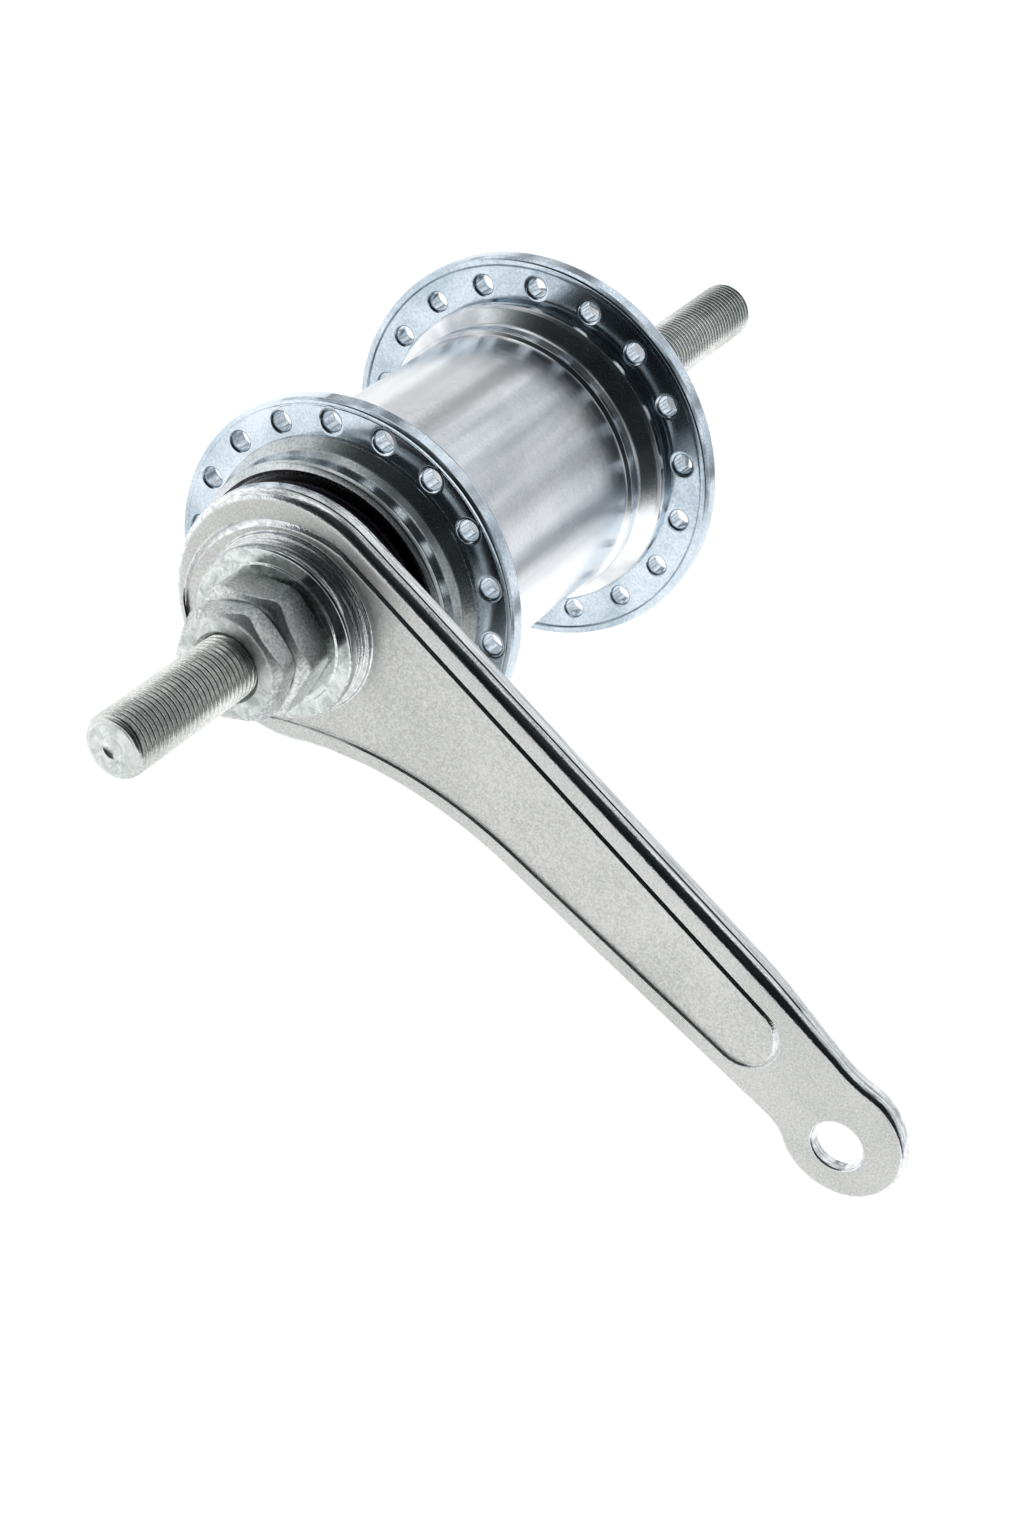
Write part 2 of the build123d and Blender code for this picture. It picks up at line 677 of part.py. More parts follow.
def all_parts():
    """Every node's name with its solid, or its group of solids."""
    return {
        "axle": make_axle(),
        "brake_side_locknut": make_brake_side_locknut(),
        "brake_arm_nut": make_brake_arm_nut(),
        "brake_arm_washer": make_brake_arm_washer(),
        "brake_arm": make_brake_arm(),
        "brake_side_dust_cap": make_brake_side_dust_cap(),
        "brake_cone": make_brake_cone(),
        "upper_brake_shoe": make_brake_shoe(1),
        "lower_brake_shoe": make_brake_shoe(-1),
        "clutch_cone": make_clutch_cone(),
        "retarder_spring": make_retarder_spring(),
        "driver": make_driver(),
        "driver_dust_cap": make_driver_dust_cap(),
        "drive_side_cone": make_drive_side_cone(),
        "drive_side_cone_cap": make_drive_side_cone_cap(),
        "lock_washer": make_lock_washer(),
        "drive_side_locknut": make_drive_side_locknut(),
        "hub_barrel": make_hub_barrel(),
        "brake_side_collar": make_brake_side_collar(),
        "brake_side_flange": make_brake_side_flange(),
        "drive_side_flange": make_drive_side_flange(),
        "brake_drum_liner": make_brake_drum_liner(),
        "drive_clutch_ring": make_drive_clutch_ring(),
        "brake_side_bearing_cup": make_brake_side_bearing_cup(),
        "drive_side_bearing_cup": make_drive_side_bearing_cup(),
        "brake_side_balls": ball_set(**BRAKE_BALLS),
        "brake_side_ball_retainer": retainer(**BRAKE_BALLS, rail_side=-1),
        "drive_side_balls": ball_set(**DRIVE_BALLS),
        "drive_side_ball_retainer": retainer(**DRIVE_BALLS, rail_side=-1),
        "driver_balls": ball_set(**DRIVER_BALLS),
        "driver_ball_retainer": retainer(**DRIVER_BALLS, rail_side=1),
    }


def write_parts():
    os.makedirs("parts", exist_ok=True)
    for name, shape in all_parts().items():
        solid = Compound(children=shape) if isinstance(shape, list) else shape
        export_step(solid, f"parts/{name}.step")


write_parts()
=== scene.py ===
import json
import math

import bmesh
import bpy
from mathutils import Matrix, Vector


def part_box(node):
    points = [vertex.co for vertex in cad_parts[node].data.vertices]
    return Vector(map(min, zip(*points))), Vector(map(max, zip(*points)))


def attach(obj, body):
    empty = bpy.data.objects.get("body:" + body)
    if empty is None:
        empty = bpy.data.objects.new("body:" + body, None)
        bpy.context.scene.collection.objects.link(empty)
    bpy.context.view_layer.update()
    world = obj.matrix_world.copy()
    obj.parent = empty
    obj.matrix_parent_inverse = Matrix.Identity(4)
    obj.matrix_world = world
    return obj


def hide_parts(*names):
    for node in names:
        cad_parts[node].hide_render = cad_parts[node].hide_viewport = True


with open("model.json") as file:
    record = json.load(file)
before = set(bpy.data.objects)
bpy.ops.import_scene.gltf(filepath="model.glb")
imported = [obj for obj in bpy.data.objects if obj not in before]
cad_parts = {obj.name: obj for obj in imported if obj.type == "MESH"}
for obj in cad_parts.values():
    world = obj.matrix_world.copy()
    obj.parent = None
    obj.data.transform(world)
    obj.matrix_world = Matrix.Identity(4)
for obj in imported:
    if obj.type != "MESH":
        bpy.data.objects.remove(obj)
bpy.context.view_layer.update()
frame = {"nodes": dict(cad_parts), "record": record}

MM = 0.001
TURN = 2 * math.pi


# ---- sizes read from the frame ----------------------------------------------

def y_span(node):
    """Lowest and highest y of a CAD node, in millimetres."""
    low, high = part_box(node)
    return low[1] / MM, high[1] / MM


def outer_r(node):
    """Largest radius of a turned CAD node, in millimetres."""
    low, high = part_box(node)
    return (high[2] - low[2]) / 2 / MM


# ---- mesh helpers -----------------------------------------------------------

def round_corners(points, steps=5):
    """Polyline whose points (r, y, fillet) have their corners rounded."""
    out = []
    count = len(points)
    for index, point in enumerate(points):
        fillet = point[2] if len(point) > 2 else 0.0
        here = Vector(point[:2])
        if fillet <= 0 or index in (0, count - 1):
            out.append(here)
            continue
        before = Vector(points[index - 1][:2]) - here
        after = Vector(points[index + 1][:2]) - here
        half = before.angle(after) / 2
        reach = min(fillet / math.tan(half), 0.48 * before.length, 0.48 * after.length)
        radius = reach * math.tan(half)
        before.normalize()
        after.normalize()
        centre = here + (before + after).normalized() * (radius / math.sin(half))
        start = here + before * reach - centre
        end = here + after * reach - centre
        sweep = start.angle(end)
        for step in range(steps + 1):
            t = step / steps
            a = math.sin((1 - t) * sweep) / math.sin(sweep)
            b = math.sin(t * sweep) / math.sin(sweep)
            out.append(centre + start * a + end * b)
    return out


def finish_mesh(name, bm, slot, body, node, smooth_angle=35):
    """Turns a bmesh into a piece that rides on a body and replaces a node."""
    bmesh.ops.remove_doubles(bm, verts=bm.verts, dist=1e-7)
    bmesh.ops.recalc_face_normals(bm, faces=bm.faces)
    mesh = bpy.data.meshes.new(name)
    bm.to_mesh(mesh)
    bm.free()
    mesh.shade_smooth()
    mesh.set_sharp_from_angle(angle=math.radians(smooth_angle))
    mesh.materials.append(MATERIALS[slot])
    piece = bpy.data.objects.new(name, mesh)
    bpy.context.collection.objects.link(piece)
    weighted = piece.modifiers.new("weighted", "WEIGHTED_NORMAL")
    weighted.keep_sharp = True
    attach(piece, body)
    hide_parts(node)
    return piece


def flat_vert(bm, spot, y):
    """Vertex at y over a spot given in X and Z, millimetres."""
    return bm.verts.new((spot.x * MM, y * MM, spot.y * MM))


def new_vert(bm, radius, angle, y, x=0.0):
    """Vertex at a radius, an angle and a y about the axle, or about a line at x."""
    return bm.verts.new(((x + radius * math.cos(angle)) * MM, y * MM, radius * math.sin(angle) * MM))


def ring_points(bm, radius, y, segments, phase=0.0, x=0.0):
    """Ring of vertices about the axle, or about a line at x beside it."""
    return [new_vert(bm, radius, phase + TURN * index / segments, y, x) for index in range(segments)]


def join_rings(bm, first, second):
    """Band of quads between two closed rings with equally many vertices."""
    count = len(first)
    for index in range(count):
        after = (index + 1) % count
        bm.faces.new((first[index], first[after], second[after], second[index]))


def join_chain(bm, rings):
    """Bands of quads from each ring to the next."""
    for first, second in zip(rings, rings[1:]):
        join_rings(bm, first, second)


def lathe(name, points, slot, body, node, segments=192):
    """Piece turned about the axle from a closed outline of (r, y, fillet)."""
    bm = bmesh.new()
    outline = round_corners(points + [points[0]])[:-1]
    rings = [ring_points(bm, point.x, point.y, segments) for point in outline]
    join_chain(bm, rings + [rings[0]])
    return finish_mesh(name, bm, slot, body, node)


def smoothstep(low, high, value):
    """Smooth rise from 0 at low to 1 at high."""
    t = min(max((value - low) / (high - low), 0.0), 1.0)
    return t * t * (3 - 2 * t)


# ---- materials --------------------------------------------------------------

def new_material(name):
    """Material with only a shader and its output."""
    material = bpy.data.materials.new(name)
    material.use_nodes = True
    nodes = material.node_tree.nodes
    nodes.clear()
    shader = nodes.new("ShaderNodeBsdfPrincipled")
    output = nodes.new("ShaderNodeOutputMaterial")
    material.node_tree.links.new(shader.outputs["BSDF"], output.inputs["Surface"])
    return material, nodes, material.node_tree.links, shader


def noise(nodes, links, vector, scale, detail=4.0, roughness=0.6, distortion=0.0):
    node = nodes.new("ShaderNodeTexNoise")
    node.inputs["Scale"].default_value = scale
    node.inputs["Detail"].default_value = detail
    node.inputs["Roughness"].default_value = roughness
    node.inputs["Distortion"].default_value = distortion
    links.new(vector, node.inputs["Vector"])
    return node.outputs["Fac"]


def ramp(nodes, links, value, stops):
    """Colour of a value, from (place, colour) stops."""
    node = nodes.new("ShaderNodeValToRGB")
    elements = node.color_ramp.elements
    while len(elements) < len(stops):
        elements.new(0.5)
    for element, (place, colour) in zip(elements, stops):
        element.position = place
        element.color = (*colour, 1.0)
    links.new(value, node.inputs["Fac"])
    return node.outputs["Color"]


def remap(nodes, links, value, low, high, from_low=0.3, from_high=0.7):
    """Value stretched so that from_low gives low and from_high gives high."""
    node = nodes.new("ShaderNodeMapRange")
    node.inputs["From Min"].default_value = from_low
    node.inputs["From Max"].default_value = from_high
    node.inputs["To Min"].default_value = low
    node.inputs["To Max"].default_value = high
    links.new(value, node.inputs["Value"])
    return node.outputs["Result"]


def bump(nodes, links, height, strength, distance, normal=None):
    node = nodes.new("ShaderNodeBump")
    node.inputs["Strength"].default_value = strength
    node.inputs["Distance"].default_value = distance
    links.new(height, node.inputs["Height"])
    if normal is not None:
        links.new(normal, node.inputs["Normal"])
    return node.outputs["Normal"]


def object_coords(nodes, links, stretch=(1, 1, 1)):
    """Place on the piece in metres, scaled by stretch along X, Y and Z."""
    coords = nodes.new("ShaderNodeTexCoord")
    mapping = nodes.new("ShaderNodeMapping")
    mapping.inputs["Scale"].default_value = stretch
    links.new(coords.outputs["Object"], mapping.inputs["Vector"])
    return mapping.outputs["Vector"]


def turned_coords(nodes, links):
    """Radius and y of a point, for marks that run round the axle."""
    coords = nodes.new("ShaderNodeTexCoord")
    split = nodes.new("ShaderNodeSeparateXYZ")
    links.new(coords.outputs["Object"], split.inputs["Vector"])
    flat = nodes.new("ShaderNodeCombineXYZ")
    links.new(split.outputs["X"], flat.inputs["X"])
    links.new(split.outputs["Z"], flat.inputs["Y"])
    length = nodes.new("ShaderNodeVectorMath")
    length.operation = "LENGTH"
    links.new(flat.outputs["Vector"], length.inputs[0])
    rings = nodes.new("ShaderNodeCombineXYZ")
    links.new(length.outputs["Value"], rings.inputs["X"])
    links.new(split.outputs["Y"], rings.inputs["Y"])
    return rings.outputs["Vector"]


def mix_values(nodes, links, first, second, share):
    node = nodes.new("ShaderNodeMix")
    node.data_type = "FLOAT"
    node.inputs["Factor"].default_value = share
    links.new(first, node.inputs["A"])
    links.new(second, node.inputs["B"])
    return node.outputs["Result"]


def mix_colours(nodes, links, factor, first, second):
    node = nodes.new("ShaderNodeMix")
    node.data_type = "RGBA"
    links.new(factor, node.inputs["Factor"])
    links.new(first, node.inputs["A"])
    links.new(second, node.inputs["B"])
    return node.outputs["Result"]


def axial_share(nodes, links):
    """How square a surface is to the axle: 1 on an end face, 0 on a side."""
    coords = nodes.new("ShaderNodeTexCoord")
    split = nodes.new("ShaderNodeSeparateXYZ")
    links.new(coords.outputs["Normal"], split.inputs["Vector"])
    share = nodes.new("ShaderNodeMath")
    share.operation = "ABSOLUTE"
    links.new(split.outputs["Y"], share.inputs[0])
    return share.outputs["Value"]


def shader_tree(material):
    """Nodes and links of a material, and the source of its base colour."""
    nodes, links = material.node_tree.nodes, material.node_tree.links
    shader = next(node for node in nodes if node.type == "BSDF_PRINCIPLED")
    return nodes, links, shader, shader.inputs["Base Color"].links[0].from_socket


BUMP_DEPTH = 0.00005               # of the speckle, in metres
MARK_DEPTH = 0.00003               # of the lathe marks
MARK_SCALE = 9000.0
HIGHLIGHT_STREAK_SCALE = 75.0
HIGHLIGHT_STREAK_STRETCH = (1.0, 0.10, 1.0)  # painted highlight streaks run along the axle


def zinc(name, light, dark, rough, speckle=2500.0, speckle_bump=0.15, turned_marks=0.0,
         cloud=60.0, grain=0.35, highlight_streaks=0.0):
    """Plated steel: cloudy tone, fine speckle and, if wanted, lathe marks and painted highlight streaks."""
    material, nodes, links, shader = new_material(name)
    shader.inputs["Metallic"].default_value = 1.0
    vector = object_coords(nodes, links)
    clouds = noise(nodes, links, vector, cloud, 5.0, 0.6, 0.6)
    grains = noise(nodes, links, vector, speckle, 2.0, 0.5)
    tone = mix_values(nodes, links, clouds, grains, grain)
    # painted highlight: lengthwise streaks that stand in for the brushed barrel's stretched reflections
    if highlight_streaks:
        lengthwise = object_coords(nodes, links, HIGHLIGHT_STREAK_STRETCH)
        highlight_bands = noise(nodes, links, lengthwise, HIGHLIGHT_STREAK_SCALE, 3.0, 0.55, 0.3)
        tone = mix_values(nodes, links, tone, highlight_bands, highlight_streaks)
    colour = ramp(nodes, links, tone, [(0.38, dark), (0.60, light)])
    links.new(colour, shader.inputs["Base Color"])
    links.new(remap(nodes, links, tone, rough[1], rough[0]), shader.inputs["Roughness"])
    normal = bump(nodes, links, grains, speckle_bump, BUMP_DEPTH)
    if turned_marks:
        marks = noise(nodes, links, turned_coords(nodes, links), MARK_SCALE, 2.0, 0.7)
        normal = bump(nodes, links, marks, turned_marks, MARK_DEPTH, normal)
    links.new(normal, shader.inputs["Normal"])
    return material


def polish_and_highlight_edges(material, satin, polished):
    """Makes faces that lean away from Y smoother than flat ones, and paints a brighter highlight colour on
    them.
    """
    nodes, links, shader, face_colour = shader_tree(material)
    rough = shader.inputs["Roughness"].links[0].from_socket
    flat = axial_share(nodes, links)
    share = remap(nodes, links, flat, polished / satin, 1.0, 0.93, 0.995)
    product = nodes.new("ShaderNodeMath")
    product.operation = "MULTIPLY"
    links.new(rough, product.inputs[0])
    links.new(share, product.inputs[1])
    links.new(product.outputs["Value"], shader.inputs["Roughness"])
    # painted highlight: a bright, streaky colour on the edges, where the bent rim catches reflections
    highlight_grain = noise(nodes, links, object_coords(nodes, links, (0.03, 1.0, 0.6)), 1800.0, 3.0, 0.6)
    edge_highlight_colour = ramp(nodes, links, highlight_grain, [(0.38, (0.62, 0.64, 0.65)), (0.56, (0.94, 0.95, 0.96))])
    factor = remap(nodes, links, flat, 0.0, 1.0, 0.90, 0.99)
    links.new(mix_colours(nodes, links, factor, edge_highlight_colour, face_colour), shader.inputs["Base Color"])


def dull_ends(material, dark, light):
    """Gives faces that are square to the axle a greyer, cloudier tone."""
    nodes, links, shader, side_colour = shader_tree(material)
    patches = noise(nodes, links, object_coords(nodes, links), 420.0, 6.0, 0.75, 0.8)
    dulled = ramp(nodes, links, patches, [(0.36, dark), (0.60, light)])
    factor = remap(nodes, links, axial_share(nodes, links), 0.0, 1.0, 0.90, 0.99)
    links.new(mix_colours(nodes, links, factor, side_colour, dulled), shader.inputs["Base Color"])


LOOKS = {
    "zinc_thread": dict(light=(0.90, 0.91, 0.88), dark=(0.50, 0.52, 0.50), rough=(0.16, 0.30)),
    "zinc_nut": dict(light=(0.86, 0.88, 0.86), dark=(0.38, 0.41, 0.41), rough=(0.30, 0.46),
                     speckle=2400.0, speckle_bump=0.45, cloud=110.0, grain=0.5),
    "zinc_satin": dict(light=(0.88, 0.90, 0.90), dark=(0.38, 0.41, 0.41), rough=(0.08, 0.24),
                       speckle=1700.0, speckle_bump=0.35, grain=0.5),
    "zinc_arm": dict(light=(0.69, 0.69, 0.675), dark=(0.51, 0.515, 0.50), rough=(0.34, 0.46),
                     speckle=3000.0, speckle_bump=0.6, cloud=40.0, grain=0.6),
    "dark_cap": dict(light=(0.05, 0.04, 0.055), dark=(0.015, 0.013, 0.018), rough=(0.30, 0.5)),
    "hard_steel": dict(light=(0.55, 0.55, 0.56), dark=(0.34, 0.34, 0.35), rough=(0.22, 0.36),
                       turned_marks=0.3),
    "polished_steel": dict(light=(0.78, 0.80, 0.81), dark=(0.44, 0.47, 0.48), rough=(0.20, 0.32),
                           speckle_bump=0.10),
    # the barrel's streaks are painted highlight streaks along the axle
    "brushed_barrel": dict(light=(0.98, 0.99, 1.0), dark=(0.42, 0.45, 0.49), rough=(0.16, 0.24),
                           turned_marks=0.35, highlight_streaks=0.8),
    "bright_zinc": dict(light=(0.78, 0.85, 0.92), dark=(0.44, 0.53, 0.60), rough=(0.08, 0.17),
                        speckle_bump=0.06),
    "spring_steel": dict(light=(0.40, 0.42, 0.46), dark=(0.22, 0.24, 0.28), rough=(0.25, 0.4)),
    "shoe_bronze": dict(light=(0.70, 0.52, 0.26), dark=(0.45, 0.32, 0.15), rough=(0.25, 0.4)),
    "ball_steel": dict(light=(0.85, 0.85, 0.86), dark=(0.75, 0.75, 0.76), rough=(0.04, 0.08)),
}


MATERIALS = {name: zinc(name, **look) for name, look in LOOKS.items()}
# the arm's edges get a smoother finish and also a painted highlight
polish_and_highlight_edges(MATERIALS["zinc_arm"], 0.42, 0.13)
for plated in ("zinc_thread", "zinc_nut", "zinc_satin"):
    dull_ends(MATERIALS[plated], (0.40, 0.43, 0.42), (0.78, 0.81, 0.79))


def dress_frame():
    """Gives every CAD node its own slot's material."""
    for part in frame["record"]["subparts"]:
        node = frame["nodes"][part["node"]]
        node.data.materials.clear()
        node.data.materials.append(MATERIALS[part["material_slot"]])


dress_frame()


# ---- axle -------------------------------------------------------------------

THREAD_PITCH = 1.0
THREAD_DEPTH = 0.54
TIP_EDGE_R = 0.9                   # rounding of the axle's ends
TIP_STEP = 0.12                    # from an end face to the first row of thread
MARK_R = 1.7                       # centre mark of the tips
MARK_HOLLOW = 1.2


def thread_radius(radius, angle, y):
    """Radius of a helical thread with flat crests and rounded roots."""
    phase = (y / THREAD_PITCH - angle / TURN) % 1.0
    rise = abs(phase - 0.5) * 2
    return radius - THREAD_DEPTH * (1 - smoothstep(0.16, 0.80, rise))


def make_axle():
    """Axle with a real helical thread from end to end and centred tips."""
    segments = 96
    rows_per_turn = 16
    radius = outer_r("axle")
    face_r = radius - TIP_EDGE_R
    tip, end = y_span("axle")
    bm = bmesh.new()
    mark = round_corners([(0, tip + MARK_HOLLOW), (MARK_R, tip, 0.25), (face_r - 0.25, tip, 0.15),
                          (face_r, tip + TIP_STEP)])
    near_centre = bm.verts.new((0, mark[0].y * MM, 0))
    rings = [ring_points(bm, point.x, point.y, segments) for point in mark[1:]]
    start = tip + TIP_STEP
    stop = end - TIP_STEP
    rows = int((stop - start) / THREAD_PITCH * rows_per_turn)
    for row in range(1, rows):
        y = start + (stop - start) * row / rows
        inwards = 1 - min((y - start) / TIP_EDGE_R, (stop - y) / TIP_EDGE_R, 1.0)
        limit = face_r + TIP_EDGE_R * math.sqrt(1 - inwards ** 2)
        ring = []
        for index in range(segments):
            angle = TURN * index / segments
            ring.append(new_vert(bm, min(thread_radius(radius, angle, y), limit), angle, y))
        rings.append(ring)
    for point in reversed(mark[1:]):
        rings.append(ring_points(bm, point.x, tip + end - point.y, segments))
    far_centre = bm.verts.new((0, (tip + end - mark[0].y) * MM, 0))
    join_chain(bm, rings)
    for centre, ring in ((near_centre, rings[0]), (far_centre, rings[-1])):
        for index in range(segments):
            bm.faces.new((centre, ring[index], ring[(index + 1) % segments]))
    return finish_mesh("threaded_axle", bm, "zinc_thread", "axle_assembly", "axle", 60)


# ---- nuts and washers -------------------------------------------------------

LOCKNUT_FLATS = 17.0
ARM_NUT_FLATS = 19.0
BRAKE_LOCKNUT_CORNER = 42.0        # degrees from +X towards +Z, to a corner
ARM_NUT_CORNER = 32.0
DRIVE_LOCKNUT_CORNER = 0.0
CORNER_FILLET = 3.4
CHAMFER_START = 0.92               # of half the width across flats
CHAMFER_DEGREES = 30
NUT_MOUTH = [(0.0, 1.0), (0.7, 0.25), (0.95, 0.0)]     # out from the bore and in from the face
NUT_FACE_EDGE = [(-0.35, 0.0), (-0.05, 0.04)]          # out from the chamfer and in from the face


def hex_radius(across_flats, angle):
    """Radius of a hexagon with rounded corners, at an angle from a corner."""
    sector = (angle % (TURN / 6)) - TURN / 12
    flat_r = across_flats / 2 / math.cos(sector)
    corner_r = across_flats / math.sqrt(3) - CORNER_FILLET * 0.155
    blend = smoothstep(corner_r - CORNER_FILLET / 2, corner_r + CORNER_FILLET / 2, flat_r)
    return flat_r * (1 - blend) + min(flat_r, corner_r) * blend


def make_nut(name, node, across_flats, corner_degrees):
    """Hexagon nut with turned-off corners and a countersunk thread mouth."""
    segments = 240
    chamfer_steps = 5
    low, high = y_span(node)
    corner = math.radians(corner_degrees)
    turn_r = across_flats / 2 * CHAMFER_START
    bore = outer_r("axle") - THREAD_DEPTH * 0.6
    slope = math.tan(math.radians(CHAMFER_DEGREES))
    bm = bmesh.new()

    def side_radius(angle):
        return hex_radius(across_flats, angle - corner)

    def cone_ring(face_y, inward, drop, radius_at):
        """Ring on the cone that turns the corners off."""
        ring = []
        for index in range(segments):
            angle = TURN * index / segments
            radius = radius_at(angle)
            depth = drop + max(radius - turn_r, 0) * slope
            ring.append(new_vert(bm, radius, angle, face_y + inward * depth))
        return ring

    def nut_face(face_y, inward):
        """Rings from the thread's mouth out to the side of the nut."""
        face = [ring_points(bm, bore + out, face_y + inward * depth, segments) for out, depth in NUT_MOUTH]
        face += [ring_points(bm, turn_r + out, face_y + inward * depth, segments)
                 for out, depth in NUT_FACE_EDGE]
        for step in range(1, chamfer_steps + 1):
            share = step / chamfer_steps
            face.append(cone_ring(
                face_y, inward, 0.05, lambda angle: turn_r + (side_radius(angle) - 0.12 - turn_r) * share))
        face.append(cone_ring(face_y, inward, 0.22, side_radius))
        return face

    chain = nut_face(low, 1) + nut_face(high, -1)[::-1]
    join_chain(bm, chain + chain[:1])
    return finish_mesh(name, bm, "zinc_nut", "axle_assembly", node, 30)


def make_arm_washer():
    """Washer whose rim is set back on the nut's side."""
    low, high = y_span("brake_arm_washer")
    radius = outer_r("brake_arm_washer")
    inner = outer_r("axle") + 0.1
    rim_y = low + 0.15
    points = [
        (inner, low, 0.1), (radius - 2.6, low, 0.2), (radius - 2.3, rim_y, 0.2),
        (radius, rim_y, 0.45), (radius, high, 0.3), (inner, high, 0.1),
    ]
    return lathe("arm_boss_washer", points, "zinc_satin", "axle_assembly", "brake_arm_washer")


# ---- shell ------------------------------------------------------------------

NEAR_FLANGE_Y = (-29.6, -26.1)     # flat faces of the spoke flanges
FAR_FLANGE_Y = (26.3, 29.7)
NEAR_SEAT_R = 23.0                 # where the flanges sit
FAR_SEAT_R = 24.8
BARREL_R = 22.6


def make_barrel():
    """Barrel with a seat at each end, a turned ridge and a flared bead."""
    low, high = y_span("hub_barrel")
    shoulder = NEAR_FLANGE_Y[1]
    ridge_r = BARREL_R + 0.6
    ridge_low, ridge_high = 18.5, 19.2
    bead_r = outer_r("hub_barrel")
    bead_low, bead_high = 23.9, 25.0
    near_bore, bore, pocket_r = 18.6, 19.6, 22.2
    near_step, pocket_floor = -25.5, 25.8
    points = [
        (near_bore, low, 0.3), (NEAR_SEAT_R, low, 0.2), (NEAR_SEAT_R, shoulder, 0.1),
        (BARREL_R, shoulder, 0.15), (BARREL_R, ridge_low - 0.5, 0.5), (ridge_r, ridge_low, 0.3),
        (ridge_r, ridge_high, 0.3), (BARREL_R + 0.15, ridge_high + 0.5, 0.5),
        (BARREL_R + 0.4, bead_low - 2.5, 1.5), (bead_r - 0.5, bead_low - 0.7, 1.2),
        (bead_r, bead_low, 0.5), (bead_r, bead_high, 0.6), (FAR_SEAT_R, bead_high + 0.6, 0.3),
        (FAR_SEAT_R, high - 0.8, 0.2), (FAR_SEAT_R - 0.8, high, 0.3), (pocket_r, high, 0.2),
        (pocket_r, pocket_floor, 0.2), (bore, pocket_floor, 0.1), (bore, near_step, 0.1),
        (near_bore, near_step, 0.1),
    ]
    return lathe("barrel", points, "brushed_barrel", "hub_shell", "hub_barrel", 256)


def make_collar():
    """Collar with a rounded lip, a waist and a flare towards the near flange."""
    low, high = y_span("brake_side_collar")
    mouth_r, lip_r, waist_r, root_r, bore = 20.5, 22.15, 21.5, 23.6, 19.9
    mouth_floor = -36.0
    flange_face = NEAR_FLANGE_Y[0]
    points = [
        (mouth_r, low + 0.2, 0.35), (mouth_r + 0.5, low, 0.35), (lip_r - 0.25, low + 0.35, 0.4),
        (lip_r, low + 1.1, 0.4), (waist_r + 0.05, low + 1.9, 0.5), (waist_r, low + 3.6, 2.0),
        (waist_r + 0.6, low + 5.2, 1.5), (root_r - 0.5, low + 6.3, 1.0), (root_r, low + 6.8, 0.3),
        (root_r, flange_face, 0.1), (NEAR_SEAT_R, flange_face, 0.0), (NEAR_SEAT_R, high, 0.0),
        (bore, high, 0.1), (bore, mouth_floor, 0.1), (mouth_r, mouth_floor, 0.1),
    ]
    return lathe("shell_collar", points, "polished_steel", "hub_shell", "brake_side_collar", 256)


# ---- brake arm --------------------------------------------------------------

ARM_FRONT = -44.3
ARM_BACK = -42.1
ARM_SKIRT = -40.4
ARM_SLOPE = -0.085
ARM_END_R = 19.5
ARM_LOWER_Z = -5.1
ARM_SWEEP = (47.0, 65.6)           # x of the start and radius of the swept lower edge
ARM_NECK_X = 100.6
ARM_LOBE = (109.0, 1.3, 9.7)       # x, z and radius
LOBE_TOP, LOBE_LOW = 0.20, 0.50    # where the neck meets the lobe, in lobe radii before its centre
ARM_HOLE = (109.3, 4.0)            # x and radius
ARM_BORE = 9.06
ARM_BOSS_R = 13.0
ARM_BOSS_FRONT = -46.6
PANEL_R = 17.0
PANEL_END = (88.6, 3.3, 5.6)       # x, z and radius
PANEL_LOWER_Z = -2.6
PANEL_SLOPE = -0.037
PANEL_FLOOR = ARM_FRONT + 0.5
UPPER_EDGE_Z = 3.0                 # points above it belong to the upper edge
FOLD_NECK_X = (84.0, 103.0)        # where the upper fold gets shallower
FOLD_LOBE_X = (108.0, 118.0)       # and where it runs out
FOLD_LOWER_X = (2.0, 26.0)         # where the lower fold runs out


def line_points(start, end, count):
    """Points from start towards end, without the last one."""
    return [Vector(start).lerp(Vector(end), step / count) for step in range(count)]


def arc_points(start, middle, end, count):
    """Points on the arc through three points, without the last one."""
    a, b, c = Vector(start), Vector(middle), Vector(end)
    d = 2 * (a.x * (b.y - c.y) + b.x * (c.y - a.y) + c.x * (a.y - b.y))
    aa, bb, cc = a.length_squared, b.length_squared, c.length_squared
    centre = Vector((
        (aa * (b.y - c.y) + bb * (c.y - a.y) + cc * (a.y - b.y)) / d,
        (aa * (c.x - b.x) + bb * (a.x - c.x) + cc * (b.x - a.x)) / d,
    ))
    radius = (a - centre).length
    first = math.atan2(a.y - centre.y, a.x - centre.x)
    half = (math.atan2(b.y - centre.y, b.x - centre.x) - first) % TURN
    sweep = (math.atan2(c.y - centre.y, c.x - centre.x) - first) % TURN
    if half > sweep:
        sweep -= TURN
    angles = [first + sweep * step / count for step in range(count)]
    return [centre + radius * Vector((math.cos(angle), math.sin(angle))) for angle in angles]


def tangent_point(radius, slope):
    """Top point of a circle about the axle where a line of that slope touches it."""
    norm = math.hypot(1.0, slope)
    return (-slope * radius / norm, radius / norm)


def sweep_points(end_r, lower_z, count):
    """Swept lower edge and where it meets the round hub end.

    A line above the arm's own edge gets a larger radius, which keeps the two concentric.
    """
    start_x, arm_radius = ARM_SWEEP
    radius = arm_radius + lower_z - ARM_LOWER_Z
    low_x, high_x = 0.0, start_x

    def height(x):
        return lower_z - radius + math.sqrt(radius ** 2 - (x - start_x) ** 2)

    while high_x - low_x > 1e-6:
        x = (low_x + high_x) / 2
        if math.hypot(x, height(x)) < end_r:
            low_x = x
        else:
            high_x = x
    middle = (start_x + high_x) / 2
    end = (high_x, height(high_x))
    return arc_points((start_x, lower_z), (middle, height(middle)), end, count), end


